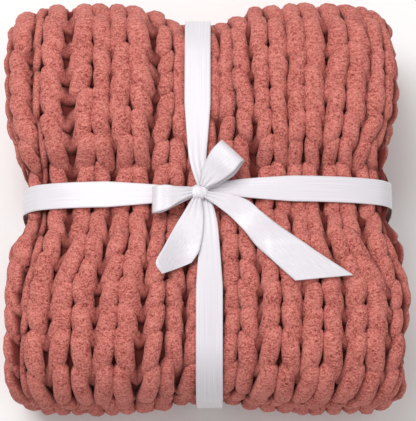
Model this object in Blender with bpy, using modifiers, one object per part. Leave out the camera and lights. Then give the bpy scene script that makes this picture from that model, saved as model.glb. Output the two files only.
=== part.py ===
"""Chunky knit blanket, folded into a square packet and tied with a satin ribbon.

Metres, +Z up, the packet lying on its underside with the middle of that at the
origin, +X across the knit's wales and +Y from the front to the back of the
packet. The blanket is one sheet: it is letter folded in three across X, and
that strip is then folded in four along Y, its two ends turned in and the whole
doubled over at the back.
"""

import math

import bpy
from mathutils import Vector

# The cloth: one ply of the knit, pressed by the fold, and the step to the next.
PLY_THICKNESS = 0.0145
PLY_PITCH = 0.017
STRIP_PITCH = 3 * PLY_PITCH
STACK_HEIGHT = 4 * STRIP_PITCH
UNDERSIDE = (PLY_PITCH - PLY_THICKNESS) / 2

# The packet before it settles: half its sides, and the radii of its folds.
HALF_WIDTH = 0.207
HALF_DEPTH = 0.207
INNER_FOLD = PLY_PITCH / 2
OUTER_FOLD = PLY_PITCH
FRONT_FOLD = STRIP_PITCH / 2
BACK_CORNER = 0.028
OUTER_FACE = PLY_PITCH + PLY_THICKNESS / 2
FOLD_STEPS = {"inner": 5, "outer": 6, "front": 6, "corner": 4, "back": 2}

# How far each free edge stays from the fold that it lies against.
INNER_FLAP_SET_BACK = 0.004
OUTER_FLAP_REACH = 0.008
STRIP_END_CLEARANCE = 0.006

# Places, across and along, where the sheet has a row of corners.
ACROSS_STOPS = (-0.145, -0.105, -0.058, -0.020, 0.020, 0.060, 0.105, 0.150)
ALONG_STOPS = (-0.118, -0.068, -0.021, 0.017, 0.067, 0.112)

# Reach of the settled sides. Columns: place along Y, left side, right side.
SIDE_REACH = (
    (-0.207, 0.190, 0.195),
    (-0.187, 0.194, 0.198),
    (-0.152, 0.194, 0.200),
    (-0.102, 0.196, 0.205),
    (-0.059, 0.192, 0.198),
    (-0.021, 0.182, 0.190),
    (0.017, 0.182, 0.190),
    (0.053, 0.189, 0.185),
    (0.093, 0.202, 0.197),
    (0.143, 0.204, 0.200),
    (0.178, 0.201, 0.193),
    (0.207, 0.198, 0.191),
)

# Reach of the settled ends. Columns: place along X, front end, back end.
END_REACH = (
    (-0.207, 0.201, 0.200),
    (-0.166, 0.207, 0.205),
    (-0.106, 0.208, 0.204),
    (-0.058, 0.206, 0.200),
    (-0.020, 0.200, 0.191),
    (0.020, 0.200, 0.191),
    (0.060, 0.204, 0.201),
    (0.114, 0.207, 0.205),
    (0.174, 0.206, 0.205),
    (0.207, 0.200, 0.197),
)

# How the stack sinks towards its edges and under the tie, as shares of its height.
SIDE_SINK = 0.13
END_SINK = 0.09
TIE_SINK = 0.085
TIE_FLAT = 0.020
TIE_SPREAD = 0.060
BARREL = 0.030

# The ribbon, and where it runs: the back and front, left and right halves differ.
RIBBON_WIDTH = 0.025
RIBBON_THICKNESS = 0.001
RIBBON_GAP = 0.0020
UNDER_GAP = 0.0004
UNDER_LIFT = 0.0042
TIE_BACK_X = -0.006
TIE_FRONT_X = 0.006
TIE_LEFT_Y = -0.005
TIE_RIGHT_Y = 0.001
TIE_TURN = 0.080

BAND_ROWS = 6
KNOT_END_WIDTH = 0.010
KNOT_TAPER = 0.055
KNOT_RISE = 0.0015

# The knot, at the crossing: its half sizes and how high its middle lies.
KNOT_PLACE = (-0.004, -0.004)
KNOT_HALF = (0.0085, 0.0065, 0.0040)
KNOT_HEIGHT = 0.0072
KNOT_CLEARANCE = 0.0012

# The bow's strips. Columns: first edge X and Y, second edge X and Y, all from
# the knot's middle, and height above the cloth.
BOW_STRIPS = {
    "ribbon_tail_left": (
        (-0.009, -0.010, 0.003, -0.010, 0.0070),
        (-0.016, -0.020, 0.004, -0.021, 0.0056),
        (-0.025, -0.034, 0.003, -0.038, 0.0050),
        (-0.033, -0.053, 0.000, -0.052, 0.0050),
        (-0.038, -0.074, -0.005, -0.065, 0.0045),
    ),
    "ribbon_tail_right": (
        (0.012, -0.001, 0.009, -0.009, 0.0080),
        (0.030, -0.002, 0.020, -0.016, 0.0070),
        (0.047, -0.008, 0.031, -0.025, 0.0062),
        (0.060, -0.019, 0.043, -0.038, 0.0060),
        (0.080, -0.037, 0.054, -0.054, 0.0055),
        (0.106, -0.055, 0.070, -0.067, 0.0050),
        (0.143, -0.076, 0.090, -0.082, 0.0045),
    ),
    "ribbon_loop_left": (
        (-0.011, 0.003, -0.011, -0.005, 0.0066),
        (-0.024, 0.006, -0.024, -0.014, 0.0052),
        (-0.037, 0.006, -0.037, -0.020, 0.0050),
        (-0.043, 0.005, -0.043, -0.021, 0.0066),
        (-0.045, 0.004, -0.045, -0.022, 0.0105),
        (-0.042, 0.004, -0.043, -0.022, 0.0150),
        (-0.031, 0.005, -0.031, -0.019, 0.0170),
        (-0.019, 0.003, -0.019, -0.011, 0.0140),
        (-0.011, 0.003, -0.010, -0.005, 0.0110),
    ),
    "ribbon_loop_right": (
        (0.001, 0.011, 0.012, 0.006, 0.0072),
        (0.004, 0.027, 0.024, 0.010, 0.0062),
        (0.012, 0.040, 0.035, 0.018, 0.0062),
        (0.019, 0.047, 0.041, 0.026, 0.0090),
        (0.022, 0.050, 0.044, 0.029, 0.0150),
        (0.020, 0.047, 0.041, 0.027, 0.0210),
        (0.012, 0.038, 0.034, 0.018, 0.0220),
        (0.005, 0.025, 0.024, 0.011, 0.0170),
        (0.002, 0.011, 0.011, 0.006, 0.0115),
    ),
}

CORAL = (0.578, 0.156, 0.127, 1.0)
SATIN = (0.86, 0.84, 0.88, 1.0)


def eased(value):
    """A step from 0 to 1 that starts and ends level."""
    held = min(1.0, max(0.0, value))
    return held * held * (3 - 2 * held)


def read_table(table, place, column):
    """A column of a table, read between its rows with an eased step."""
    if place <= table[0][0]:
        return table[0][column]
    for before, after in zip(table, table[1:]):
        if place <= after[0]:
            share = eased((place - before[0]) / (after[0] - before[0]))
            return before[column] + share * (after[column] - before[column])
    return table[-1][column]


def tie_x(y):
    """Where the front to back ribbon's middle runs."""
    return TIE_BACK_X + (TIE_FRONT_X - TIE_BACK_X) * eased(0.5 - y / TIE_TURN)


def tie_y(x):
    """Where the left to right ribbon's middle runs."""
    return TIE_LEFT_Y + (TIE_RIGHT_Y - TIE_LEFT_Y) * eased(0.5 + x / TIE_TURN)


def pressed(distance):
    """How far the tie presses the cloth, 1 under the ribbon and 0 well beside it."""
    return 1 - eased((abs(distance) - TIE_FLAT) / (TIE_SPREAD - TIE_FLAT))


def settle(point):
    """Take a point of the square-cornered stack to its place in the tied packet."""
    x, y, z = point
    across, along, up = x / HALF_WIDTH, y / HALF_DEPTH, z / STACK_HEIGHT
    pinch = pressed(x - tie_x(y)), pressed(y - tie_y(x))
    pinch = pinch[0] + pinch[1] - pinch[0] * pinch[1]
    side = read_table(SIDE_REACH, y, 2 if x > 0 else 1) - HALF_WIDTH
    end = read_table(END_REACH, x, 2 if y > 0 else 1) - HALF_DEPTH
    barrel = 1 - BARREL * (2 * up - 1) ** 2
    scale = 1 - SIDE_SINK * across**4 - END_SINK * along**4 - TIE_SINK * pinch
    return Vector((
        barrel * (x + side * across**3),
        barrel * (y + end * along**3),
        z * scale + UNDER_LIFT * pinch * max(0.0, 1 - up) ** 4,
    ))


class FoldLine:
    """A line of straight runs and turns, kept as stations of place and heading."""

    def __init__(self, start, heading):
        self.stations = [(start, heading)]

    def straight(self, end, stops=()):
        """Run level to `end` on the first axis, with a station at each stop."""
        (start, level), heading = self.stations[-1]
        way = math.copysign(1, end - start)
        passed = [stop for stop in stops if start * way < stop * way < end * way]
        for place in sorted(passed, key=lambda stop: stop * way) + [end]:
            self.stations.append(((place, level), heading))

    def forward(self, length, steps):
        """Run on along the heading."""
        for _ in range(steps):
            (first, second), heading = self.stations[-1]
            step = length / steps
            place = (first + step * math.cos(heading), second + step * math.sin(heading))
            self.stations.append((place, heading))

    def turn(self, radius, angle, steps):
        """Turn about a centre to the left, or to the right for a negative angle."""
        (first, second), heading = self.stations[-1]
        arm = math.copysign(radius, angle)
        centre = (first - arm * math.sin(heading), second + arm * math.cos(heading))
        for step in range(1, steps + 1):
            now = heading + angle * step / steps
            place = (centre[0] + arm * math.sin(now), centre[1] - arm * math.cos(now))
            self.stations.append((place, now))


def letter_fold():
    """The sheet across X: places are X and height within the folded strip."""
    left = -HALF_WIDTH + OUTER_FACE
    right = HALF_WIDTH - INNER_FOLD - PLY_THICKNESS / 2
    line = FoldLine((left + INNER_FLAP_SET_BACK, 0.0), 0.0)
    line.straight(right, ACROSS_STOPS)
    line.turn(INNER_FOLD, math.pi, FOLD_STEPS["inner"])
    line.straight(left, ACROSS_STOPS)
    line.turn(OUTER_FOLD, math.pi, FOLD_STEPS["outer"])
    line.straight(right + OUTER_FLAP_REACH, ACROSS_STOPS)
    return line.stations


def book_fold():
    """The strip along Y: places are Y and height in the stack."""
    front = -HALF_DEPTH + FRONT_FOLD + OUTER_FACE
    back = HALF_DEPTH - BACK_CORNER - OUTER_FACE
    inner_end = HALF_DEPTH - 2 * OUTER_FACE - STRIP_END_CLEARANCE
    middle = 2.5 * STRIP_PITCH - UNDERSIDE
    line = FoldLine((inner_end, middle), math.pi)
    line.straight(front, ALONG_STOPS)
    line.turn(FRONT_FOLD, -math.pi, FOLD_STEPS["front"])
    line.straight(back, ALONG_STOPS)
    line.turn(BACK_CORNER, -math.pi / 2, FOLD_STEPS["corner"])
    line.forward(3 * STRIP_PITCH - 2 * BACK_CORNER, FOLD_STEPS["back"])
    line.turn(BACK_CORNER, -math.pi / 2, FOLD_STEPS["corner"])
    line.straight(front, ALONG_STOPS)
    line.turn(FRONT_FOLD, -math.pi, FOLD_STEPS["front"])
    line.straight(inner_end, ALONG_STOPS)
    return line.stations


def fold_place(across, along):
    """Where a station of each fold line meets in the square-cornered stack."""
    x, height = across[0]
    (y, z), heading = along
    return Vector((x, y - height * math.sin(heading), z + height * math.cos(heading)))


def tie_route(low, high, radii, knot, gaps):
    """A band's line round the stack, from one side of the knot to the other.

    `low` and `high` are the stack's ends on the band's first axis, and `radii`
    the corner radii at the high and low end. The top stays `gaps[0]` clear of
    the cloth and the underside `gaps[1]`.
    """
    over, under = gaps
    top = STACK_HEIGHT - 2 * UNDERSIDE + over
    corner_high, corner_low = (radius + over for radius in radii)
    high, low = high + over, low - over
    level_stops = (*ALONG_STOPS, *ACROSS_STOPS)
    line = FoldLine((knot[1], top), 0.0)
    line.straight(high - corner_high, level_stops)
    line.turn(corner_high, -math.pi / 2, BAND_ROWS)
    line.forward(top + under - 2 * corner_high, BAND_ROWS)
    line.turn(corner_high, -math.pi / 2, BAND_ROWS)
    line.straight(low + corner_low, level_stops)
    line.turn(corner_low, -math.pi / 2, BAND_ROWS)
    line.forward(top + under - 2 * corner_low, BAND_ROWS)
    line.turn(corner_low, -math.pi / 2, BAND_ROWS)
    line.straight(knot[0], level_stops)
    return [place for place, _ in line.stations]


def make_material(name, colour, roughness):
    material = bpy.data.materials.new(name)
    material.use_nodes = True
    shader = material.node_tree.nodes["Principled BSDF"]
    shader.inputs["Base Color"].default_value = colour
    shader.inputs["Roughness"].default_value = roughness
    shader.inputs["Metallic"].default_value = 0.0
    return material


def grid_sheet(name, rows, columns):
    """A flat grid whose corners are then placed; returns the object and its corners."""
    bpy.ops.mesh.primitive_grid_add(x_subdivisions=columns - 1, y_subdivisions=rows - 1, size=1)
    sheet = bpy.context.object
    sheet.name = sheet.data.name = name
    places = [
        (vertex, round((vertex.co.y + 0.5) * (rows - 1)), round((vertex.co.x + 0.5) * (columns - 1)))
        for vertex in sheet.data.vertices
    ]
    return sheet, places


def thicken(sheet, thickness, offset):
    """Give the sheet its thickness and keep the result as its mesh."""
    shell = sheet.modifiers.new("thickness", "SOLIDIFY")
    shell.thickness = thickness
    shell.offset = offset
    shell.use_even_offset = True
    bpy.ops.object.modifier_apply(modifier=shell.name)


def finish(sheet, material, collection):
    """Dress a part, shade it smooth and put it in the object's collection."""
    sheet.data.materials.append(material)
    sheet.data.shade_smooth()
    sheet.data.set_sharp_from_angle(angle=math.radians(50))
    for holder in list(sheet.users_collection):
        holder.objects.unlink(sheet)
    collection.objects.link(sheet)
    return sheet


def make_blanket(material, collection):
    across, along = letter_fold(), book_fold()
    sheet, places = grid_sheet("blanket", len(along), len(across))
    for vertex, row, column in places:
        vertex.co = fold_place(across[column], along[row])
    thicken(sheet, PLY_THICKNESS, 0.0)
    for vertex in sheet.data.vertices:
        vertex.co = settle(vertex.co)
    return finish(sheet, material, collection)


def make_band(name, route, along_y, material, collection):
    """One strip from the knot, round the packet and back to the knot."""
    sheet, places = grid_sheet(name, len(route), 3)
    knot = KNOT_PLACE[1] if along_y else KNOT_PLACE[0]
    for vertex, row, column in places:
        place, height = route[row]
        on_top = height > STACK_HEIGHT / 2
        near = 1 - eased(abs(place - knot) / KNOT_TAPER) if on_top else 0.0
        width = RIBBON_WIDTH + near * (KNOT_END_WIDTH - RIBBON_WIDTH)
        across = (column - 1) * width / 2
        x, y = (tie_x(place) + across, place) if along_y else (place, tie_y(place) + across)
        vertex.co = settle((x, y, height)) + Vector((0, 0, KNOT_RISE * near))
    thicken(sheet, RIBBON_THICKNESS, 1.0 if along_y else -1.0)
    return finish(sheet, material, collection)


def make_bands(material, collection):
    knot_x, knot_y = KNOT_PLACE
    reach_x, reach_y = (half + KNOT_CLEARANCE for half in KNOT_HALF[:2])
    radii = (BACK_CORNER + OUTER_FACE, FRONT_FOLD + OUTER_FACE)
    gaps = (RIBBON_GAP, UNDER_GAP * 2 + RIBBON_THICKNESS)
    ends = (knot_y - reach_y, knot_y + reach_y)
    route = tie_route(-HALF_DEPTH, HALF_DEPTH, radii, ends, gaps)
    make_band("ribbon_band_front_back", route, True, material, collection)
    radii = (INNER_FOLD + PLY_THICKNESS / 2, OUTER_FACE)
    ends = (knot_x - reach_x, knot_x + reach_x)
    route = tie_route(-HALF_WIDTH, HALF_WIDTH, radii, ends, (RIBBON_GAP, UNDER_GAP))
    make_band("ribbon_band_left_right", route, False, material, collection)


def over_cloth(x, y, height):
    """The place above the settled top of the stack, at a height from it."""
    top = settle((x, y, STACK_HEIGHT - 2 * UNDERSIDE))
    return Vector((x, y, top.z + height))


def make_knot(material, collection):
    x, y = KNOT_PLACE
    place = over_cloth(x, y, KNOT_HEIGHT)
    bpy.ops.mesh.primitive_uv_sphere_add(segments=16, ring_count=8, radius=1, location=place)
    knot = bpy.context.object
    knot.name = knot.data.name = "ribbon_knot"
    knot.scale = KNOT_HALF
    bpy.ops.object.transform_apply(location=False, rotation=False, scale=True)
    return finish(knot, material, collection)


def make_bow_strip(name, rows, material, collection):
    """A loop or a tail, lofted between its two edges."""
    sheet, places = grid_sheet(name, len(rows), 3)
    knot_x, knot_y = KNOT_PLACE
    for vertex, row, column in places:
        first_x, first_y, second_x, second_y, height = rows[row]
        share = column / 2
        x = knot_x + first_x + share * (second_x - first_x)
        y = knot_y + first_y + share * (second_y - first_y)
        vertex.co = over_cloth(x, y, height)
    thicken(sheet, RIBBON_THICKNESS, 0.0)
    return finish(sheet, material, collection)


def main():
    for leftover in list(bpy.data.objects):
        bpy.data.objects.remove(leftover)
    collection = bpy.data.collections.new("knit_blanket")
    bpy.context.scene.collection.children.link(collection)
    knit = make_material("coral_chenille", CORAL, 0.95)
    satin = make_material("white_satin", SATIN, 0.4)
    make_blanket(knit, collection)
    make_bands(satin, collection)
    make_knot(satin, collection)
    for name, rows in BOW_STRIPS.items():
        make_bow_strip(name, rows, satin, collection)


main()
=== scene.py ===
"""The look of a chunky knit blanket, folded into a packet and tied with ribbon.

Sizes are in metres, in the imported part's frame: +Z up, +X across the knit's
wales, +Y from the front of the packet to its doubled back. Tables that are given
in millimetres say so.
"""

import logging
import math
from dataclasses import dataclass
from enum import Enum

import bpy
import numpy as np
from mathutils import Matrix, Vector


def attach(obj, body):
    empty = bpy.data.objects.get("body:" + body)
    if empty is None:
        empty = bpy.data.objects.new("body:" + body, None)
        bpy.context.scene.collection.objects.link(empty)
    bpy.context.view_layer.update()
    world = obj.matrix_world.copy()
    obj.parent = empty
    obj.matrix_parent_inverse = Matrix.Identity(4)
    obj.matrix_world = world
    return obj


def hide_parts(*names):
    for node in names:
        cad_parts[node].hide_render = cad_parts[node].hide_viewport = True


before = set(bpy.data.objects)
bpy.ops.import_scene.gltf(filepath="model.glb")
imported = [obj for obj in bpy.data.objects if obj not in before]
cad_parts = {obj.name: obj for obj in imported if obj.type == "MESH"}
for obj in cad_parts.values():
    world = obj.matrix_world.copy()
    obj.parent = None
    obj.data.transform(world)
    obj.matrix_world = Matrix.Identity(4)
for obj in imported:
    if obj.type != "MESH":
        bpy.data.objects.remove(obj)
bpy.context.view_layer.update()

logging.basicConfig(level=logging.INFO, format="%(message)s")
log = logging.getLogger("knit_blanket")

Array = np.ndarray
Material = bpy.types.Material
Piece = bpy.types.Object
Socket = bpy.types.NodeSocket
Rows = tuple[tuple[float, ...], ...]
Colour = tuple[float, float, float, float]

# The yarn's own attribute: how far its surface lies out from the cloth's middle; the chenille
# paints shade where it lies low.
LIFT = "lift"
# A short step, used to measure how the folds stretch or squeeze the cloth.
NUDGE = 0.0005
FRAME_WIDTH, FRAME_HEIGHT = 416, 421


class Slot(Enum):
    """The record's material slots."""

    CHENILLE = "chenille"
    SATIN = "satin"


def millimetres(*rows: tuple[float, ...]) -> Rows:
    """A table in metres, from its rows in millimetres."""
    return tuple(tuple(value / 1000 for value in row) for row in rows)


def eased(value: Array) -> Array:
    """A step from 0 to 1 that starts and ends level."""
    held = np.clip(value, 0.0, 1.0)
    return held * held * (3 - 2 * held)


def read_rows(rows: Rows, place: Array, column: int) -> Array:
    """Read a column of a table between its rows, with an eased step.

    Args:
        rows: The table, its first column rising.
        place: Where to read it, on the first column's scale.
        column: Which column to read.

    Returns:
        The value at each place; past the ends, the end row's value.
    """
    stations = np.array([row[0] for row in rows])
    values = np.array([row[column] for row in rows])
    before = np.clip(np.searchsorted(stations, place) - 1, 0, len(rows) - 2)
    share = eased((place - stations[before]) / (stations[before + 1] - stations[before]))
    return values[before] + share * (values[before + 1] - values[before])


def smooth_through(stations: Array, values: Array, slopes: Array, places: Array) -> Array:
    """Pass a smooth curve through a table's rows.

    Args:
        stations: Where the rows lie.
        values: The rows.
        slopes: The curve's slopes there.
        places: Where to read the curve.

    Returns:
        The values there.
    """
    before = np.clip(np.searchsorted(stations, places) - 1, 0, len(stations) - 2)
    span = (stations[before + 1] - stations[before])[:, None]
    share = (places - stations[before])[:, None] / span
    square, cube = share**2, share**3
    return (
        (2 * cube - 3 * square + 1) * values[before]
        + (cube - 2 * square + share) * span * slopes[before]
        + (3 * square - 2 * cube) * values[before + 1]
        + (cube - square) * span * slopes[before + 1]
    )


class FoldLine:
    """A line of straight runs and turns, read by the distance along it."""

    def __init__(
        self, start: tuple[float, float], heading: float, steps: Rows, last: float
    ) -> None:
        """Lay out the line.

        Args:
            start: Its first place.
            heading: Its first heading, in radians.
            steps: A straight length, then the radius and angle of the turn after it,
                positive to the left.
            last: The straight length after the last turn.
        """
        self.starts = [start]
        self.headings = [heading]
        self.distances = [0.0]
        self.curvatures: list[float] = []
        runs = []
        for length, radius, angle in steps:
            runs += [(length, 0.0), (abs(angle) * radius, math.copysign(1 / radius, angle))]
        for length, curvature in (*runs, (last, 0.0)):
            self.curvatures.append(curvature)
            self.distances.append(self.distances[-1] + length)
            place, turned = self.at(np.array([self.distances[-1]]))
            self.starts.append(tuple(place[0]))
            self.headings.append(float(turned[0]))

    @property
    def length(self) -> float:
        """The whole line's length."""
        return self.distances[-1]

    def at(self, distance: Array) -> tuple[Array, Array]:
        """Read the line.

        Args:
            distance: Distances along it, which may pass its ends.

        Returns:
            The places, two columns, and the headings there.
        """
        last = len(self.curvatures) - 1
        run = np.clip(np.searchsorted(self.distances, distance, side="right") - 1, 0, last)
        start = np.array(self.starts)[run]
        heading = np.array(self.headings)[run]
        bend = np.array(self.curvatures)[run]
        gone = distance - np.array(self.distances)[run]
        now = heading + bend * gone
        curved = np.abs(bend) > 0
        safe = np.where(curved, bend, 1.0)
        first = np.where(curved, (np.sin(now) - np.sin(heading)) / safe, gone * np.cos(heading))
        second = np.where(curved, (np.cos(heading) - np.cos(now)) / safe, gone * np.sin(heading))
        return start + np.stack([first, second], axis=-1), now


@dataclass(frozen=True)
class Tie:
    """Where the ribbon crosses the packet and how hard it presses."""

    back_x: float = -0.006
    front_x: float = 0.006
    left_y: float = -0.005
    right_y: float = 0.001
    turn: float = 0.080
    flat: float = 0.020
    spread: float = 0.060
    sink: float = 0.085
    lift: float = 0.0042

    def x(self, y: Array) -> Array:
        """The middle of the front to back ribbon."""
        return self.back_x + (self.front_x - self.back_x) * eased(0.5 - y / self.turn)

    def y(self, x: Array) -> Array:
        """The middle of the left to right ribbon."""
        return self.left_y + (self.right_y - self.left_y) * eased(0.5 + x / self.turn)

    def pressed(self, x: Array, y: Array) -> Array:
        """How far the tie presses the cloth: 1 under a ribbon, 0 well beside both."""
        across, along = (
            1 - eased((np.abs(gap) - self.flat) / (self.spread - self.flat))
            for gap in (x - self.x(y), y - self.y(x))
        )
        return across + along - across * along


@dataclass(frozen=True)
class Packet:
    """The folded packet: the same fold lines and settling as its solid."""

    ply_thickness: float = 0.0145
    ply_pitch: float = 0.017
    half_side: float = 0.207
    back_corner: float = 0.028
    inner_flap_set_back: float = 0.004
    outer_flap_reach: float = 0.008
    strip_end_clearance: float = 0.006
    side_sink: float = 0.13
    end_sink: float = 0.09
    barrel: float = 0.030
    tie: Tie = Tie()
    # Columns: place along Y, reach of the left side and of the right.
    side_reach: Rows = millimetres(
        (-207, 190, 195), (-187, 194, 198), (-152, 194, 200), (-102, 196, 205),
        (-59, 192, 198), (-21, 182, 190), (17, 182, 190), (53, 189, 185),
        (93, 202, 197), (143, 204, 200), (178, 201, 193), (207, 198, 191),
    )
    # Columns: place along X, reach of the front end and of the back.
    end_reach: Rows = millimetres(
        (-207, 201, 200), (-166, 207, 205), (-106, 208, 204), (-58, 206, 200),
        (-20, 200, 191), (20, 200, 191), (60, 204, 201), (114, 207, 205),
        (174, 206, 205), (207, 200, 197),
    )

    @property
    def strip_pitch(self) -> float:
        """The height of one folded strip of three plies."""
        return 3 * self.ply_pitch

    @property
    def outer_face(self) -> float:
        """From a strip's middle to its outer face."""
        return self.ply_pitch + self.ply_thickness / 2

    @property
    def stack_height(self) -> float:
        """The height of four strips before they settle."""
        return 4 * self.strip_pitch

    @property
    def top(self) -> float:
        """The top face before it settles, above the underside."""
        return self.stack_height - (self.ply_pitch - self.ply_thickness)

    def across(self) -> FoldLine:
        """Lay out the sheet across X.

        Returns:
            Its line, of X and height within the folded strip.
        """
        left = -self.half_side + self.outer_face
        right = self.half_side - self.ply_pitch / 2 - self.ply_thickness / 2
        steps = (
            (right - left - self.inner_flap_set_back, self.ply_pitch / 2, math.pi),
            (right - left, self.ply_pitch, math.pi),
        )
        start = (left + self.inner_flap_set_back, 0.0)
        return FoldLine(start, 0.0, steps, right - left + self.outer_flap_reach)

    def along(self) -> FoldLine:
        """Lay out the strip along Y.

        Returns:
            Its line, of Y and height in the stack.
        """
        front = -self.half_side + self.strip_pitch / 2 + self.outer_face
        back = self.half_side - self.back_corner - self.outer_face
        inner_end = self.half_side - 2 * self.outer_face - self.strip_end_clearance
        middle = 2.5 * self.strip_pitch - (self.ply_pitch - self.ply_thickness) / 2
        steps = (
            (inner_end - front, self.strip_pitch / 2, -math.pi),
            (back - front, self.back_corner, -math.pi / 2),
            (3 * self.strip_pitch - 2 * self.back_corner, self.back_corner, -math.pi / 2),
            (back - front, self.strip_pitch / 2, -math.pi),
        )
        return FoldLine((inner_end, middle), math.pi, steps, inner_end - front)

    def settle(self, points: Array) -> Array:
        """Take points of the square-cornered stack to their place in the packet.

        Args:
            points: Places before settling, three columns.

        Returns:
            The settled places, three columns.
        """
        x, y, z = points[..., 0], points[..., 1], points[..., 2]
        across, along = x / self.half_side, y / self.half_side
        up = z / self.stack_height
        pinch = self.tie.pressed(x, y)
        left, right = (read_rows(self.side_reach, y, column) for column in (1, 2))
        front, back = (read_rows(self.end_reach, x, column) for column in (1, 2))
        side = np.where(x > 0, right, left) - self.half_side
        end = np.where(y > 0, back, front) - self.half_side
        barrel = 1 - self.barrel * (2 * up - 1) ** 2
        scale = 1 - self.side_sink * across**4 - self.end_sink * along**4 - self.tie.sink * pinch
        lift = self.tie.lift * pinch * np.maximum(0.0, 1 - up) ** 4
        settled = (
            barrel * (x + side * across**3),
            barrel * (y + end * along**3),
            z * scale + lift,
        )
        return np.stack(settled, axis=-1)

    def place(self, u: Array, v: Array, out: Array) -> Array:
        """Take points of the unfolded blanket to their place in the packet.

        Args:
            u: Distance across the unfolded blanket.
            v: Distance along it.
            out: Distance from the cloth's middle towards its good face.

        Returns:
            The places in the packet, three columns.
        """
        section, lean = self.across().at(u)
        x = section[..., 0] + out * np.sin(lean)
        height = section[..., 1] - out * np.cos(lean)
        middle, heading = self.along().at(v)
        y = middle[..., 0] - height * np.sin(heading)
        z = middle[..., 1] + height * np.cos(heading)
        return self.settle(np.stack([x, y, z], axis=-1))

    def over_top(self, x: Array, y: Array, height: Array) -> Array:
        """Places over the packet's settled top face, at a height from it."""
        top = self.settle(np.stack([x, y, np.full_like(x, self.top)], axis=-1))
        return np.stack([x, y, top[..., 2] + height], axis=-1)


class FinishNodes:
    """The nodes of one finish, round its Principled shader."""

    def __init__(self, name: str) -> None:
        """Start a finish of that name."""
        self.material = bpy.data.materials.new(name)
        self.material.use_nodes = True
        self.nodes = self.material.node_tree.nodes
        self.shader = self.nodes["Principled BSDF"]

    def link(self, start: Socket, end: Socket) -> None:
        """Link one socket to another."""
        self.material.node_tree.links.new(start, end)

    def plain(self, settings: dict[str, float | Colour]) -> None:
        """Set what is the same all over on the shader's own sockets."""
        for name, value in settings.items():
            self.shader.inputs[name].default_value = value

    def scaled_map(self, scale: tuple[float, float, float]) -> Socket:
        """Read the piece's own map.

        Args:
            scale: What it is scaled by.

        Returns:
            The scaled places.
        """
        mapping = self.nodes.new("ShaderNodeMapping")
        mapping.inputs["Scale"].default_value = scale
        self.link(self.nodes.new("ShaderNodeTexCoord").outputs["UV"], mapping.inputs["Vector"])
        return mapping.outputs["Vector"]

    def noise(self, place: Socket, look: tuple[float, ...]) -> Socket:
        """Add a noise texture.

        Args:
            place: The coordinates that it reads.
            look: Its scale, detail, roughness and distortion, or the first of them.

        Returns:
            The noise's value.
        """
        noise = self.nodes.new("ShaderNodeTexNoise")
        for name, value in zip(("Scale", "Detail", "Roughness", "Distortion"), look):
            noise.inputs[name].default_value = value
        self.link(place, noise.inputs["Vector"])
        return noise.outputs["Fac"]

    def weighted(self, *terms: tuple[Socket, float]) -> Socket:
        """Add up values.

        Args:
            terms: The values, each with its weight.

        Returns:
            The sum.
        """
        total = None
        for value, weight in terms:
            step = self.nodes.new("ShaderNodeMath")
            step.operation = "MULTIPLY_ADD"
            self.link(value, step.inputs[0])
            step.inputs[1].default_value, step.inputs[2].default_value = weight, 0.0
            if total is not None:
                self.link(total, step.inputs[2])
            total = step.outputs["Value"]
        return total

    def ramp(self, value: Socket, places: tuple[float, ...], colours: tuple[Colour, ...]) -> Socket:
        """Turn a value into a colour.

        Args:
            value: The value.
            places: The ramp's stops, rising.
            colours: Their colours.

        Returns:
            The colour.
        """
        ramp = self.nodes.new("ShaderNodeValToRGB")
        self.link(value, ramp.inputs["Fac"])
        stops = ramp.color_ramp.elements
        for end in (0, -1):
            stops[end].position, stops[end].color = places[end], colours[end]
        for place, colour in zip(places[1:-1], colours[1:-1]):
            stops.new(place).color = colour
        return ramp.outputs["Color"]

    def bump(self, height: Socket, strength: float, distance: float) -> None:
        """Raise the surface.

        Args:
            height: The height, 0 to 1.
            strength: How strongly it shows.
            distance: What a height of 1 is in metres.
        """
        bump = self.nodes.new("ShaderNodeBump")
        bump.inputs["Strength"].default_value = strength
        bump.inputs["Distance"].default_value = distance
        self.link(height, bump.inputs["Height"])
        self.link(bump.outputs["Normal"], self.shader.inputs["Normal"])


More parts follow.
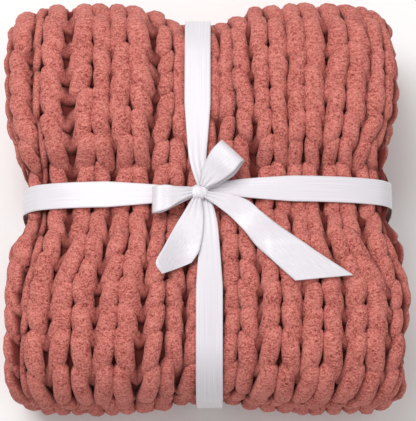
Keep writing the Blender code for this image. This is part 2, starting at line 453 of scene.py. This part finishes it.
@dataclass(frozen=True)
class ChenilleFinish:
    """Deep-pile chenille yarn: crinkled rings of short pile, flecked dark between them.

    The pile follows the yarn's own map, in metres: U round the yarn, V along it.
    """

    name: str = "coral_chenille"
    # The colour of the painted shade deep in the crevices between strands.
    crevice_shade: Colour = (0.150, 0.024, 0.019, 1.0)
    deep: Colour = (0.220, 0.039, 0.030, 1.0)
    body: Colour = (0.500, 0.136, 0.112, 1.0)
    tips: Colour = (0.700, 0.245, 0.205, 1.0)
    # Where each of the last three colours lies on the pile's tone.
    stops: tuple[float, float, float] = (0.39, 0.475, 0.585)
    # How far out from the cloth's middle the painted shade is darkest, and where it gives way to
    # the pile's full colour.
    shade_depths: tuple[float, float] = (-0.0022, 0.0058)
    ring_scale: tuple[float, float, float] = (240.0, 560.0, 1.0)
    # Scale, detail, roughness and distortion.
    rings: tuple[float, ...] = (1.0, 3.0, 0.6, 0.9)
    flecks: tuple[float, ...] = (640.0, 2.0, 0.6, 0.5)
    lay: tuple[float, ...] = (60.0, 2.0)
    ring_share: float = 0.5
    lay_share: float = 0.14
    relief: float = 0.0014

    def material(self) -> Material:
        """Build the material: rings and flecks colour the pile and roughen it.

        Returns:
            The material, darkened with painted shade in the crevices between strands.
        """
        finish = FinishNodes(self.name)
        place = finish.nodes.new("ShaderNodeTexCoord").outputs["Object"]
        rings = finish.noise(finish.scaled_map(self.ring_scale), self.rings)
        flecks = finish.noise(place, self.flecks)
        height = finish.weighted((rings, self.ring_share), (flecks, 1 - self.ring_share))
        lay = finish.noise(place, self.lay)
        tone = finish.weighted((height, 1 - self.lay_share), (lay, self.lay_share))
        colour = finish.ramp(tone, self.stops, (self.deep, self.body, self.tips))
        # Painted shade: the pile's colour darkens towards the shade colour where the yarn lies
        # deep, between and under strands.
        lift, depth, shaded = (
            finish.nodes.new(f"ShaderNode{kind}") for kind in ("Attribute", "MapRange", "Mix")
        )
        lift.attribute_name = LIFT
        depth.interpolation_type = "SMOOTHSTEP"
        for end, value in zip(("From Min", "From Max"), self.shade_depths):
            depth.inputs[end].default_value = value
        shaded.data_type = "RGBA"
        shaded.inputs["A"].default_value = self.crevice_shade
        finish.link(lift.outputs["Fac"], depth.inputs["Value"])
        finish.link(depth.outputs["Result"], shaded.inputs["Factor"])
        finish.link(colour, shaded.inputs["B"])
        finish.link(shaded.outputs["Result"], finish.shader.inputs["Base Color"])
        finish.bump(height, 1.0, self.relief)
        finish.plain({
            "Roughness": 0.95,
            "Specular IOR Level": 0.15,
            "Sheen Weight": 0.20,
            "Sheen Roughness": 0.55,
            "Sheen Tint": (1.0, 0.55, 0.47, 1.0),
        })
        return finish.material


@dataclass(frozen=True)
class SatinFinish:
    """White woven satin ribbon: fine warp lines along it and a soft sheen."""

    name: str = "white_satin"
    colour: Colour = (0.76, 0.73, 0.77, 1.0)
    shade: Colour = (0.65, 0.62, 0.67, 1.0)
    # Where each colour lies on the threads' tone.
    stops: tuple[float, float] = (0.34, 0.60)
    # How often the lines change across the ribbon, and along it.
    warp_scale: tuple[float, float, float] = (90.0, 14.0, 1.0)
    threads: tuple[float, ...] = (1.0, 3.0)
    relief: float = 0.0002

    def material(self) -> Material:
        """Build the material on the ribbon's own map: U across it, V along it.

        Returns:
            The material.
        """
        finish = FinishNodes(self.name)
        threads = finish.noise(finish.scaled_map(self.warp_scale), self.threads)
        colour = finish.ramp(threads, self.stops, (self.shade, self.colour))
        finish.link(colour, finish.shader.inputs["Base Color"])
        finish.bump(threads, 0.12, self.relief)
        finish.plain({
            "Roughness": 0.38,
            "Sheen Weight": 0.25,
            "Sheen Roughness": 0.3,
            "Anisotropic": 0.4,
        })
        return finish.material


def deselect() -> None:
    """Leave nothing selected, so that an operator acts on its own piece."""
    bpy.ops.object.select_all(action="DESELECT")


def settle_piece(piece: Piece, name: str, material: Material) -> Piece:
    """Name and dress a piece, shade it smooth and let it ride on the packet.

    Args:
        piece: The finished object, in place in the frame.
        name: The piece's name.
        material: Its material.

    Returns:
        The same object.
    """
    piece.name = piece.data.name = name
    piece.data.materials.clear()
    piece.data.materials.append(material)
    piece.data.shade_smooth()
    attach(piece, "root")
    log.info("%s: %d faces", name, len(piece.data.polygons))
    return piece


def thin_sheet(places: Array, thickness: float, offset: float) -> Piece:
    """Make a closed sheet from a grid whose corners are taken to their places.

    Args:
        places: Rows by columns by three.
        thickness: Its thickness.
        offset: Which way it thickens: 0 both ways, 1 or -1 to one face.

    Returns:
        The sheet as an object, its map running 0 to 1 both ways.
    """
    rows, columns = places.shape[:2]
    deselect()
    bpy.ops.mesh.primitive_grid_add(x_subdivisions=columns - 1, y_subdivisions=rows - 1, size=1)
    sheet = bpy.context.object
    corners = np.empty(len(sheet.data.vertices) * 3, np.float32)
    sheet.data.vertices.foreach_get("co", corners)
    corners = corners.reshape(-1, 3)
    column = np.rint((corners[:, 0] + 0.5) * (columns - 1)).astype(int)
    row = np.rint((corners[:, 1] + 0.5) * (rows - 1)).astype(int)
    sheet.data.vertices.foreach_set("co", places[row, column].astype(np.float32).ravel())
    sheet.data.update()
    shell = sheet.modifiers.new("thickness", "SOLIDIFY")
    shell.thickness, shell.offset = thickness, offset
    bpy.ops.object.modifier_apply(modifier=shell.name)
    return sheet


class Region(Enum):
    """The stretches of the blanket whose stitches show, each a piece of yarn."""

    TOP = "yarn_top"
    BACK = "yarn_back"
    UNDER = "yarn_under"
    FRONT = "yarn_front"
    INNER_UPPER = "yarn_inner_upper"
    INNER_LOWER = "yarn_inner_lower"


@dataclass(frozen=True)
class Stitch:
    """One knit stitch, as the stations of its yarn from one sinker to the next.

    The second half mirrors the first. `across` runs from 0 at the wale's edge
    over 1 at the middle of its leg to 2 at the wale's middle, `along` is in
    courses, and `girth` is a share of the leg's radius. Each leg starts with a
    round shoulder over the stitch before, and its end tucks under the next.
    """

    # Columns: across, along, out towards the good face in metres, girth.
    half: Rows = (
        (0.00, 0.02, -0.0062, 0.78),
        (0.46, 0.28, -0.0048, 0.80),
        (1.04, 0.45, -0.0014, 0.88),
        (1.16, 0.20, 0.0014, 1.00),
        (1.04, -0.14, 0.0020, 1.05),
        (0.86, -0.48, 0.0004, 1.02),
        (0.73, -0.76, -0.0042, 0.88),
        (1.15, -1.00, -0.0070, 0.76),
        (2.00, -1.08, -0.0082, 0.72),
    )

    def stations(self) -> Array:
        """The whole stitch to the next sinker: side, across, along, out, girth."""
        first = [(-1.0, *row) for row in self.half]
        second = [(1.0, *row) for row in reversed(self.half[1:-1])]
        return np.array(first + second)


@dataclass(frozen=True)
class KnitBlanket:
    """The blanket: a ground sheet on the folds, and the yarn stitched over it."""

    packet: Packet
    stitch: Stitch = Stitch()
    wales: int = 33
    course_pitch: float = 0.0244
    course_start: float = 0.1
    # The yarn's half width and half height at most, and how it fills its leg's room.
    yarn_radius: float = 0.0102
    yarn_height: float = 0.0088
    fill: float = 0.93
    overfill: float = 0.0005
    # How far stitches stray across and along, and their girth and pile as shares.
    stray_across: float = 0.0010
    stray_along: float = 0.0019
    stray_girth: float = 0.05
    lump: float = 0.03
    # The tie's pressure on the yarn, and its tighter grip where it turns the sides.
    press_depth: float = 0.0022
    press_height: float = 0.77
    grip_start: float = 0.156
    grip_run: float = 0.022
    grip_narrowing: float = 0.25
    grip_flattening: float = 0.35
    ladder: float = 0.0008
    sides: int = 11
    squareness: float = 0.85
    samples: int = 2
    ground_thickness: float = 0.002
    ground_depth: float = -0.0068
    ground_ribs: tuple[float, float] = (0.0008, 0.0006)
    ground_grid: tuple[int, int] = (170, 230)
    seed: int = 7
    # Wales that show on the packet's outside, and those at its folded sides.
    outer_wales: tuple[range, ...] = (range(9, 24), range(31, 33))
    side_wales: tuple[range, ...] = (range(8, 12), range(21, 24), range(31, 33))
    front_courses: int = 4
    # How far past the top face the tables still act, and how much less each wale on.
    top_fade: float = 0.07
    wale_fade: float = 0.3
    # The rows at which the top face's wales and ladders are given, from its front
    # to its back. These and the next three tables are in millimetres.
    rows_y: tuple[float, ...] = (-180, -111, -41, 28, 88, 139)
    # Columns: wale, then the X of its middle at each of those rows.
    wales_x: Rows = (
        (11, 190, 190, 174, 160, 177, 179), (12, 154, 156, 134, 130, 138, 143),
        (13, 111, 114, 100, 98, 99, 100), (14, 72, 74, 68, 68, 66, 64),
        (15, 35, 36, 33, 31, 33, 30), (16, 1, 3, -1, -1, 1, 1),
        (17, -40, -36, -36, -34, -31, -31), (18, -84, -81, -71, -68, -71, -73),
        (19, -127, -124, -109, -105, -109, -108), (20, -172, -166, -154, -153, -161, -161),
    )
    # Columns: the wale to the right of the ladder, then the ladder's X at each row.
    ladders_x: Rows = (
        (11, 175, 178, 152, 146, 159, 165), (12, 132, 134, 117, 114, 119, 121),
        (13, 92, 94, 84, 83, 82, 82), (14, 53, 55, 49, 49, 50, 47),
        (15, 18, 19, 15, 15, 17, 15), (16, -21, -17, -18, -17, -15, -15),
        (17, -61, -57, -52, -51, -49, -49), (18, -106, -101, -90, -87, -91, -90),
        (19, -149, -145, -129, -128, -133, -133),
    )
    # Columns: the same ladders, and how wide each opens at each row.
    ladders_open: Rows = (
        (11, 6, 5, 5, 4, 4, 3), (12, 5, 6, 4, 3, 2, 5), (13, 4, 3, 1, 1, 1, 1),
        (14, 3, 3, 3, 8, 3, 3), (15, 1, 1, 1, 1, 1, 1), (16, 5, 4, 3, 1, 1, 1),
        (17, 11, 8, 5, 3, 5, 4), (18, 6, 6, 5, 5, 2, 1), (19, 6, 6, 6, 10, 14, 10),
    )

    @property
    def width(self) -> float:
        """The unfolded blanket's width, across its wales."""
        return self.packet.across().length

    @property
    def length(self) -> float:
        """The unfolded blanket's length, along its wales."""
        return self.packet.along().length

    @property
    def courses(self) -> int:
        """The number of courses along it."""
        return round(self.length / self.course_pitch)

    def build(self) -> None:
        finish = ChenilleFinish().material()
        # Painted shade: the ground sheet wears the yarn's finish darkened many times over, for the
        # shade seen through the holes between stitches.
        ground = self.build_ground(ChenilleFinish(
            "coral_chenille_shaded",
            deep=(0.022, 0.003, 0.002, 1.0),
            body=(0.045, 0.007, 0.005, 1.0),
            tips=(0.075, 0.014, 0.011, 1.0),
        ).material())
        yarn = [self.build_yarn(region, finish) for region in Region]
        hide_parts("blanket")
        self.width
        self.length

    def build_ground(self, finish: Material) -> Piece:
        """Build the thin sheet that runs through every fold, behind the stitches; its dark finish
        is painted shade for the holes between them.

        Args:
            finish: The yarn's material, darkened as painted shade.

        Returns:
            The sheet, closed.
        """
        columns, lines = self.ground_grid
        u, v = np.linspace(0.0, self.width, columns), np.linspace(0.0, self.length, lines)
        across, along = np.meshgrid(u, v)
        ribs = np.cos(2 * np.pi * across * self.wales / self.width)
        rows = np.cos(2 * np.pi * along * self.courses / self.length)
        out = self.ground_depth + self.ground_ribs[0] * ribs + self.ground_ribs[1] * rows
        sheet = thin_sheet(self.packet.place(across, along, out), self.ground_thickness, 0.0)
        layer = sheet.data.uv_layers.active.uv
        flat = np.empty(len(layer) * 2, np.float32)
        layer.foreach_get("vector", flat)
        flat = flat.reshape(-1, 2) * (self.width, self.length)
        layer.foreach_set("vector", flat.astype(np.float32).ravel())
        return settle_piece(sheet, "blanket_ground", finish)

    def runs(self, region: Region) -> list[tuple[range, range]]:
        """Find the stitches that show in one stretch.

        Args:
            region: The stretch.

        Returns:
            Ranges of courses, each with a range of wales.
        """
        line, step = self.packet.along(), self.length / self.courses
        # The runs of the fold line that start on the top, back, under and front.
        top, back, under, front = (round(line.distances[run] / step) for run in (1, 3, 6, 7))
        inside = front + self.front_courses
        first, last, groups = {
            Region.INNER_UPPER: (0, top, self.side_wales),
            Region.TOP: (top, back, self.outer_wales),
            Region.BACK: (back, under, self.outer_wales),
            Region.UNDER: (under, front, self.outer_wales),
            Region.FRONT: (front, inside, self.outer_wales),
            Region.INNER_LOWER: (inside, self.courses, self.side_wales),
        }[region]
        return [(range(first, last), group) for group in groups]

    def on_top(self, v: Array) -> Array:
        """How far a place along the blanket counts as on the packet's top face."""
        start, end = self.packet.along().distances[2:4]
        return 1 - eased((np.abs(v - (start + end) / 2) - (end - start) / 2) / self.top_fade)

    def read_top(self, row: tuple[float, ...], v: Array) -> Array:
        """Read a table's row of values along the top face.

        Args:
            row: A number, then the values at each of the rows, in millimetres.
            v: Places along the blanket.

        Returns:
            The values there in metres.
        """
        line = self.packet.along()
        front = line.distances[2] - line.starts[2][0]
        marks = tuple((front + y / 1000, x / 1000) for y, x in zip(self.rows_y, row[1:]))
        return read_rows(marks, v, 1)

    def across_face(self, x: Array, v: Array) -> Array:
        """Distances across the blanket of places on its settled top face.

        Args:
            x: Their X.
            v: How far along the blanket they are.

        Returns:
            The distances, read back through the settling.
        """
        y = self.packet.along().at(v)[0][:, 0]
        square = x
        for _ in range(3):
            top = np.stack([square, y, np.full_like(x, self.packet.top)], axis=-1)
            square = square + x - self.packet.settle(top)[:, 0]
        right = self.packet.half_side - (self.packet.ply_pitch + self.packet.ply_thickness) / 2
        return self.packet.across().distances[2] + right - square

    def run_of(self, rows: Rows, number: int, step: float, v: Array) -> Array:
        """Where a wale's middle or a ladder runs across the blanket.

        Args:
            rows: The table of places on the top face, which acts less past its ends.
            number: The wale, or the one before the ladder.
            step: What is added to its number for its even place, in wales.
            v: Places along it.

        Returns:
            The distances across the blanket.
        """
        listed = int(np.clip(number, rows[0][0], rows[-1][0]))
        row = rows[listed - int(rows[0][0])]
        even, beside = ((at + step) * self.width / self.wales for at in (number, listed))
        shift = self.across_face(self.read_top(row, v), v) - beside
        fade = max(0.0, 1 - self.wale_fade * abs(number - listed))
        return even + shift * self.on_top(v) * fade

    def wale_gap(self, wale: int, v: Array) -> Array:
        """How wide the ladder opens between a wale and the next one to its left.

        Args:
            wale: The wale.
            v: Places along the blanket.

        Returns:
            The widths there.
        """
        opened = [row for row in self.ladders_open if row[0] == wale]
        if not opened:
            return np.full_like(v, self.ladder)
        return self.ladder + (self.read_top(opened[0], v) - self.ladder) * self.on_top(v)

    def yarn_line(self, course: int, group: range, dice: np.random.Generator) -> Array:
        """Lay one course's yarn over a group of wales.

        Args:
            course: The course's number.
            group: The wales.
            dice: The source of the knit's unevenness.

        Returns:
            A smooth line: distance across, distance along, out, and radius.
        """
        step = self.length / self.courses
        stations = self.stitch.stations()
        line = []
        for wale in group:
            v = (course + self.course_start + stations[:, 2]) * step
            low, high = (self.run_of(self.ladders_x, at, 1.0, v) for at in (wale - 1, wale))
            middle = self.run_of(self.wales_x, wale, 0.5, v)
            first = stations[:, 0] < 0
            gap = np.where(first, self.wale_gap(wale - 1, v), self.wale_gap(wale, v)) / 2
            edge = np.where(first, low, high)
            inset = edge + np.sign(middle - edge) * gap
            leg = (inset + middle) / 2
            share = stations[:, 1]
            u = np.where(share < 1, edge + (leg - edge) * share, leg + (middle - leg) * (share - 1))
            room = np.abs(middle - inset) / 2
            radius = stations[:, 4] * np.minimum(self.yarn_radius, self.fill * room + self.overfill)
            uneven = dice.normal(0.0, 1.0, (2, 3))
            side = (stations[:, 0] > 0).astype(int)
            u = u + self.stray_across * uneven[side, 0]
            v = v + self.stray_along * uneven[side, 1]
            radius = radius * (1 + self.stray_girth * uneven[side, 2])
            line.append(np.stack([u, v, stations[:, 3], radius], axis=1))
        last = line[-1][0].copy()
        last[0] = high[0]
        table = np.concatenate([line[0][:1], *line, last[None], last[None]])
        slopes, table = np.gradient(table, axis=0)[1:-1], table[1:-1]
        places = np.arange((len(table) - 1) * self.samples + 1) / self.samples
        return smooth_through(np.arange(len(table)), table, slopes, places)

    def tube(self, line: Array, dice: np.random.Generator) -> tuple[Array, Array]:
        """Sweep the yarn's squarish section along a line, flattened under the tie.

        Args:
            line: Stations of distance across, distance along, out, and radius.
            dice: The source of the pile's unevenness.

        Returns:
            The corners: every ring's, then the middle of the first and last; and
            how far each lies out from the middle of the cloth.
        """
        u, v, out, radius = line.T
        loose = self.packet.place(u, v, out)
        pressed = self.packet.tie.pressed(loose[:, 0], loose[:, 1])
        gripped = pressed * eased((np.abs(loose[:, 0]) - self.grip_start) / self.grip_run)
        out = out - self.press_depth * pressed - self.press_depth * gripped
        middle = self.packet.place(u, v, out)
        facing = self.packet.place(u, v, out + NUDGE) - middle
        stretch = np.minimum(1.0, np.linalg.norm(facing, axis=1) / NUDGE)
        sideways = self.packet.place(u + NUDGE, v, out) - middle
        narrowed = np.minimum(1.0, np.linalg.norm(sideways, axis=1) / NUDGE)
        heading = np.gradient(middle, axis=0)
        beside = np.cross(heading, facing)
        beside /= np.linalg.norm(beside, axis=1, keepdims=True)
        outward = np.cross(beside, heading)
        outward /= np.linalg.norm(outward, axis=1, keepdims=True)
        angle = 2 * np.pi * np.arange(self.sides) / self.sides
        wide, high = (
            np.sign(way) * np.abs(way) ** self.squareness for way in (np.cos(angle), np.sin(angle))
        )
        lumps = 1 + self.lump * dice.normal(0.0, 1.0, (len(line), self.sides))
        reach = (radius * (1 - self.grip_narrowing * gripped))[:, None] * lumps
        height = np.minimum(radius, self.yarn_height) * (1 - self.grip_flattening * gripped)
        tall = height[:, None] * lumps
        flat = 1 - pressed * (1 - self.press_height * stretch)
        ring = (
            beside[:, None, :] * (reach * wide * narrowed[:, None])[..., None]
            + outward[:, None, :] * (tall * high * flat[:, None])[..., None]
        )
        body = (middle[:, None, :] + ring).reshape(-1, 3)
        corners = np.concatenate([body, middle[:1], middle[-1:]])
        corners[:, 2] = np.maximum(corners[:, 2], 0.0)
        lift = (out[:, None] + tall * high).ravel()
        return corners, np.concatenate([lift, out[:1], out[-1:]])

    def tube_faces(self, rings: int) -> tuple[list[tuple[int, ...]], Array]:
        """The faces of a closed tube, and its map's places in rings and sides.

        Args:
            rings: How many rings the tube has.

        Returns:
            The faces, and for each of their corners the side and ring it lies at.
        """
        faces, places = [], []
        for ring in range(rings - 1):
            for side in range(self.sides):
                corners = ((side, ring), (side + 1, ring), (side + 1, ring + 1), (side, ring + 1))
                faces.append(tuple(at * self.sides + way % self.sides for way, at in corners))
                places += corners
        first, end = rings * self.sides, (rings - 1) * self.sides
        for side in range(self.sides):
            after = (side + 1) % self.sides
            faces += [(first, after, side), (first + 1, end + side, end + after)]
            for places_round, ring in (((0, 1, 0), 0), ((0, 0, 1), rings - 1)):
                places += [(side + way, ring) for way in places_round]
        return faces, np.array(places)

    def build_yarn(self, region: Region, finish: Material) -> Piece:
        """Build the yarn of one stretch of the blanket, course by course.

        Args:
            region: The stretch.
            finish: The yarn's material.

        Returns:
            One mesh of closed tubes.
        """
        dice = np.random.default_rng(self.seed + list(Region).index(region))
        corners, faces, wound, lifts, count = [], [], [], [], 0
        for courses, group in self.runs(region):
            for course in courses:
                line = self.yarn_line(course, group, dice)
                points, lift = self.tube(line, dice)
                sides, places = self.tube_faces(len(line))
                middle = self.packet.place(*line[:, :3].T)
                steps = np.linalg.norm(np.diff(middle, axis=0), axis=1)
                gone = np.concatenate([[0.0], np.cumsum(steps)]) + dice.random()
                round_it = places[:, 0] * 2 * np.pi * self.yarn_radius / self.sides
                wound.append(np.stack([round_it, gone[places[:, 1]]], axis=1))
                faces += [tuple(corner + count for corner in face) for face in sides]
                corners.append(points)
                lifts.append(lift)
                count += len(points)
        mesh = bpy.data.meshes.new(region.value)
        mesh.from_pydata(np.concatenate(corners).tolist(), [], faces)
        layer = mesh.uv_layers.new(name="along_yarn")
        layer.uv.foreach_set("vector", np.concatenate(wound).astype(np.float32).ravel())
        lifted = mesh.attributes.new(LIFT, "FLOAT", "POINT")
        lifted.data.foreach_set("value", np.concatenate(lifts).astype(np.float32))
        piece = bpy.data.objects.new(region.value, mesh)
        bpy.context.scene.collection.objects.link(piece)
        return settle_piece(piece, region.value, finish)


@dataclass(frozen=True)
class RibbonTie:
    """The satin ribbon: two bands round the packet, a knot, two loops and two tails."""

    packet: Packet
    width: float = 0.0265
    thickness: float = 0.0005
    top_gap: float = 0.0021
    under_gap: float = 0.0004
    under_step: float = 0.0014
    knot_width: float = 0.0060
    knot_taper: float = 0.095
    knot_spread: float = 0.6
    knot_rise: float = 0.0022
    knot_place: tuple[float, float] = (-0.004, -0.004)
    knot_half: tuple[float, float, float] = (0.0090, 0.0070, 0.0045)
    knot_height: float = 0.0072
    knot_crease: float = 0.07
    knot_squareness: float = 0.8
    pleats: float = 3.0
    pleat_depth: float = 0.0016
    # The pleats of a loop or tail: how far they run from the knot, and their depth.
    gather_run: float = 0.04
    gather_share: float = 0.7
    columns: int = 17
    band_lines: int = 420
    strip_lines: int = 90
    # Each strip's columns: first edge X and Y, second edge X and Y, all from the
    # knot's middle, and height above the cloth.
    tail_left: Rows = millimetres(
        (-7, -6, 2, -6, 8), (-14, -18, 4, -18, 6.2), (-23, -33, 4, -36, 5),
        (-34, -56, 2, -50, 5), (-41, -73, -1, -60, 6), (-35, -82, -7, -69, 5.8),
    )
    tail_right: Rows = millimetres(
        (7, 1, 5, -6, 8.8), (30, -2, 20, -16, 7.4), (47, -8, 31, -25, 6.4),
        (60, -19, 43, -38, 6), (80, -37, 54, -54, 5.5), (108, -58, 70, -70, 5.2),
        (147, -83, 91, -89, 5),
    )
    loop_left: Rows = millimetres(
        (-6, 3, -6, -5, 7.6), (-24, 6, -24, -14, 5.6), (-37, 6, -37, -20, 5),
        (-43, 5, -43, -21, 6.6), (-45, 4, -45, -22, 10.5), (-42, 4, -43, -22, 15),
        (-31, 5, -31, -19, 17), (-19, 3, -19, -11, 14), (-6, 3, -6, -4, 10),
    )
    loop_right: Rows = millimetres(
        (0, 6, 8, 2, 8.2), (4, 27, 24, 10, 6.6), (12, 40, 35, 18, 6.2),
        (19, 47, 41, 26, 9), (22, 50, 44, 29, 15), (20, 47, 41, 27, 21),
        (12, 38, 34, 18, 22), (5, 25, 24, 11, 17), (0, 6, 7, 3, 10.8),
    )

    def build(self) -> None:
        """Build every piece of the tie: bands, knot, loops and tails."""
        finish = SatinFinish().material()
        for along_y in (True, False):
            self.build_band(along_y, finish)
        self.build_knot(finish)
        strips = (
            ("tail_left", self.tail_left, 0.092),
            ("tail_right", self.tail_right, 0.170),
            ("loop_left", self.loop_left, 0.092),
            ("loop_right", self.loop_right, 0.115),
        )
        for name, rows, length in strips:
            self.build_strip(name, rows, finish)

    def route(self, along_y: bool) -> FoldLine:
        """A band's line round the stack, from the knot to the knot again.

        Args:
            along_y: True for the band that runs front to back.

        Returns:
            The line: places on the band's own axis and up.
        """
        form, over = self.packet, self.top_gap
        under = self.under_gap + (self.under_step if along_y else 0.0)
        front = form.strip_pitch / 2 + form.outer_face
        right = (form.ply_pitch + form.ply_thickness) / 2
        high_corner, low_corner = (
            (form.back_corner + form.outer_face, front) if along_y else (right, form.outer_face)
        )
        start = self.knot_place[1 if along_y else 0]
        height, level = form.top + over + under, form.half_side + over
        high, low, turn = high_corner + over, low_corner + over, -math.pi / 2
        steps = (
            (level - high_corner - over - start, high, turn),
            (height - 2 * high, high, turn),
            (2 * level - high_corner - low_corner - 2 * over, low, turn),
            (height - 2 * low, low, turn),
        )
        return FoldLine((start, form.top + over), 0.0, steps, start + level - low_corner - over)

    def build_band(self, along_y: bool, finish: Material) -> None:
        """Build one band: flat round the packet, gathered into pleats at the knot.

        Args:
            along_y: True for the band that runs front to back.
            finish: The satin.
        """
        turn = "front_back" if along_y else "left_right"
        line = self.route(along_y)
        half_knot = self.knot_half[1 if along_y else 0] * 0.5
        distance = np.linspace(half_knot, line.length - half_knot, self.band_lines)
        place, _ = line.at(distance)
        gone = np.minimum(distance, line.length - distance)
        near = 1 - np.clip(gone / self.knot_taper, 0.0, 1.0) ** self.knot_spread
        share = np.linspace(-1.0, 1.0, self.columns)
        wide = self.width + near * (self.knot_width - self.width)
        offset = share[None, :] * wide[:, None] / 2
        own, height = (np.repeat(place[:, [way]], self.columns, axis=1) for way in (0, 1))
        tie = self.packet.tie
        x, y = (tie.x(own) + offset, own) if along_y else (own, tie.y(own) + offset)
        points = self.packet.settle(np.stack([x, y, height], axis=-1))
        pleat = np.cos(np.pi * self.pleats * share)[None, :] * near[:, None] ** 3
        points[..., 2] += self.knot_rise * near[:, None] + self.pleat_depth * pleat
        band = thin_sheet(points, self.thickness, 1.0 if along_y else -1.0)
        settle_piece(band, f"satin_band_{turn}", finish)
        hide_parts(f"ribbon_band_{turn}")
        self.width
        line.length

    def build_knot(self, finish: Material) -> None:
        """Build the knot: the ribbon's middle turn, drawn tight and creased.

        Args:
            finish: The satin.
        """
        x, y = self.knot_place
        deselect()
        bpy.ops.mesh.primitive_uv_sphere_add(segments=48, ring_count=24, radius=1)
        knot = bpy.context.object
        place = self.packet.over_top(np.array(x), np.array(y), np.array(self.knot_height))
        half = np.array(self.knot_half)
        corners = np.array([vertex.co for vertex in knot.data.vertices])
        folds = np.cos(9 * corners[:, 0] + 2.5 * corners[:, 1])
        creases = 1 + self.knot_crease * folds * (1 - corners[:, 0] ** 2)
        squared = np.sign(corners) * np.abs(corners) ** self.knot_squareness
        knot.data.vertices.foreach_set(
            "co", (place + squared * half * creases[:, None]).astype(np.float32).ravel()
        )
        settle_piece(knot, "satin_knot", finish)
        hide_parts("ribbon_knot")

    def build_strip(self, name: str, rows: Rows, finish: Material) -> None:
        """Build a loop or a tail as a thin strip between its two edges.

        Args:
            name: Which loop or tail it is.
            rows: The strip's stations.
            finish: The satin.
        """
        table = np.array(rows)
        gone = np.concatenate([[0.0], np.cumsum(np.linalg.norm(np.diff(table, axis=0), axis=1))])
        places = np.linspace(0.0, gone[-1], self.strip_lines)
        fine = smooth_through(gone, table, np.gradient(table, gone, axis=0), places)
        share = np.linspace(0.0, 1.0, self.columns)[None, :]
        x, y = (
            fine[:, [way]] + share * (fine[:, [way + 2]] - fine[:, [way]]) + self.knot_place[way]
            for way in (0, 1)
        )
        start = places[:, None]
        near = 1 - eased(start / self.gather_run)
        if "loop" in name:
            near = np.maximum(near, 1 - eased((gone[-1] - start) / self.gather_run))
        waves = np.cos(np.pi * self.pleats * (2 * share - 1)) * near**2
        pleat = waves * self.pleat_depth * self.gather_share
        places = self.packet.over_top(x, y, fine[:, 4:5] + pleat)
        strip = thin_sheet(places, self.thickness, 0.0)
        settle_piece(strip, f"satin_{name}", finish)
        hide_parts(f"ribbon_{name}")
        self.width


@dataclass(frozen=True)
class Studio:
    """The pale floor, the soft lights and the camera over the packet."""

    elevation: float = 78.0
    distance: float = 1.5
    view_width: float = 0.425
    aim: tuple[float, float, float] = (0.0045, -0.005, 0.11)
    floor_size: float = 12.0
    floor_gap: float = 0.0005
    room_light: float = 0.42

    def add_floor(self) -> None:
        """Add a wide plain floor just under the packet."""
        deselect()
        bpy.ops.mesh.primitive_plane_add(size=self.floor_size, location=(0, 0, -self.floor_gap))
        floor = bpy.context.object
        floor.name = "studio_floor"
        finish = FinishNodes("pale_floor")
        finish.plain({"Base Color": (0.92, 0.92, 0.92, 1.0), "Roughness": 0.9})
        floor.data.materials.append(finish.material)

    def add_lights(self) -> None:
        """Add a large soft key from the back left, a fill, and a pale world."""
        lamps = (
            ("key", (-0.55, 0.65, 1.9), 1.1, 30.0),
            ("fill", (0.8, -0.6, 1.7), 1.8, 7.0),
        )
        for name, place, size, power in lamps:
            light = bpy.data.lights.new(name, "AREA")
            light.size = size
            light.energy = power
            lamp = bpy.data.objects.new(name, light)
            lamp.location = place
            lamp.rotation_euler = (-Vector(place)).to_track_quat("-Z", "Y").to_euler()
            bpy.context.scene.collection.objects.link(lamp)
        world = bpy.data.worlds.new("pale_room")
        world.use_nodes = True
        background = world.node_tree.nodes["Background"]
        background.inputs["Color"].default_value = (1.0, 0.99, 0.98, 1.0)
        background.inputs["Strength"].default_value = self.room_light
        bpy.context.scene.world = world
        bpy.context.scene.view_settings.view_transform = "Standard"

    def add_camera(self) -> None:
        """Add the camera, looking down on the packet from slightly in front."""
        data = bpy.data.cameras.new("camera")
        view_height = self.view_width * FRAME_HEIGHT / FRAME_WIDTH
        data.lens = data.sensor_width / 2 / (view_height / 2 / self.distance)
        camera = bpy.data.objects.new("camera", data)
        tilt = math.radians(self.elevation)
        back = Vector((0.0, -math.cos(tilt), math.sin(tilt)))
        camera.location = Vector(self.aim) + back * self.distance
        camera.rotation_euler = (-back).to_track_quat("-Z", "Y").to_euler()
        bpy.context.scene.collection.objects.link(camera)
        bpy.context.scene.camera = camera


def main() -> None:
    """Build the blanket, its tie and the studio."""
    packet = Packet()
    KnitBlanket(packet).build()
    RibbonTie(packet).build()
    studio = Studio()
    studio.add_floor()
    studio.add_lights()
    studio.add_camera()


if __name__ == "__main__":
    main()
